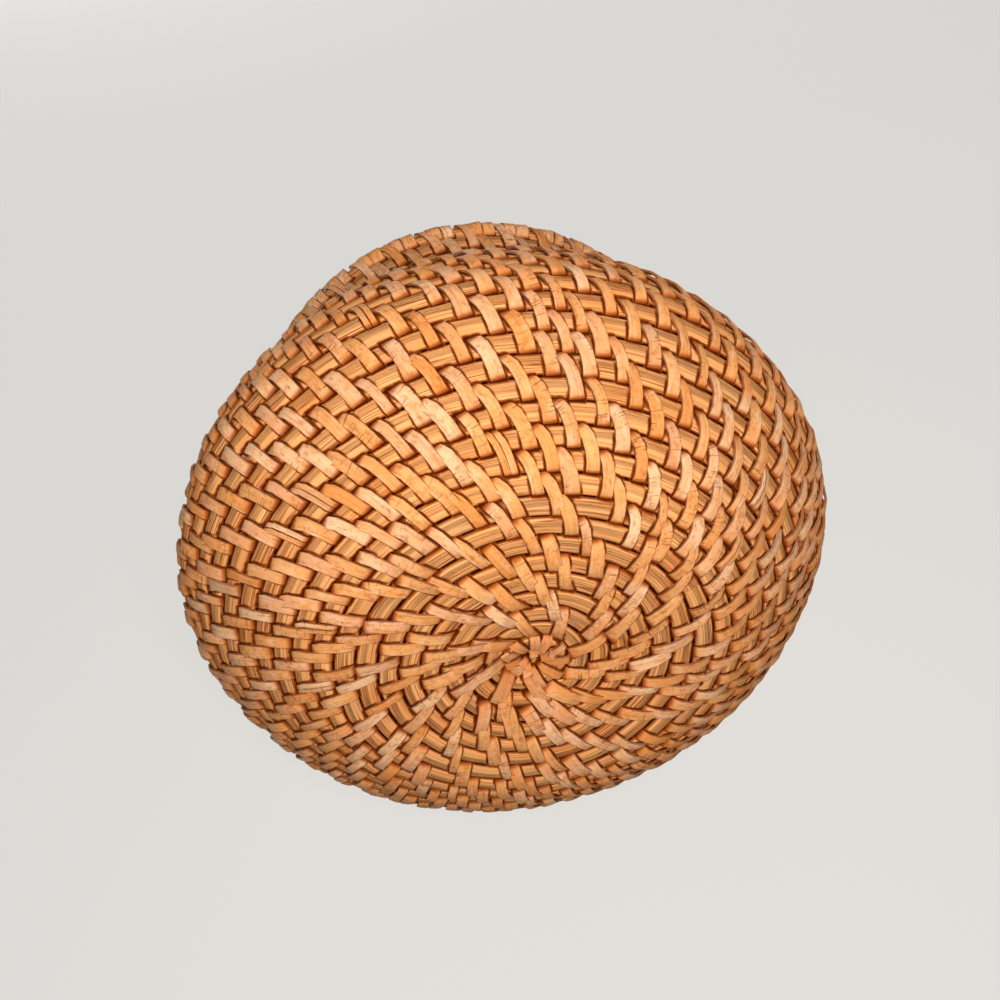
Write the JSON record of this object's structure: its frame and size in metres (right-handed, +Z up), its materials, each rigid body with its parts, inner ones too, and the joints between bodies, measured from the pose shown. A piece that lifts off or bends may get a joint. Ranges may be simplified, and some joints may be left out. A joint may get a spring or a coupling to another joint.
{
  "type": "wicker vase",
  "caption": "Round coiled rattan vase with a full belly, a drawn-in neck and a flared collar, its cane rounds lashed together with strips of peel, to hold dried stems or small goods.",
  "frame": {"origin": "centre of the foot ring, on the surface the vase stands on", "axes": "+Z up along the vase's axis and out of its mouth; the coil starts near -Y in the middle of the base and winds counter-clockwise seen from above; -Y is the side turned to the camera"},
  "size_m": [0.1828, 0.1828, 0.1206],
  "materials": {
    "cane": "dry matt cane core with fine fibres along its length",
    "strip": "satin rattan peel"
  },
  "bodies": {
    "root": {"core_cane_01": "cane", "core_cane_02": "cane", "core_cane_03": "cane", "core_cane_04": "cane", "core_cane_05": "cane", "core_cane_06": "cane", "core_cane_07": "cane", "core_cane_08": "cane", "core_cane_09": "cane", "core_cane_10": "cane", "core_cane_11": "cane", "core_cane_12": "cane", "base_lashing_01": "strip", "base_lashing_02": "strip", "rim_lashing_01": "strip", "rim_lashing_02": "strip"}
  },
  "joints": []
}
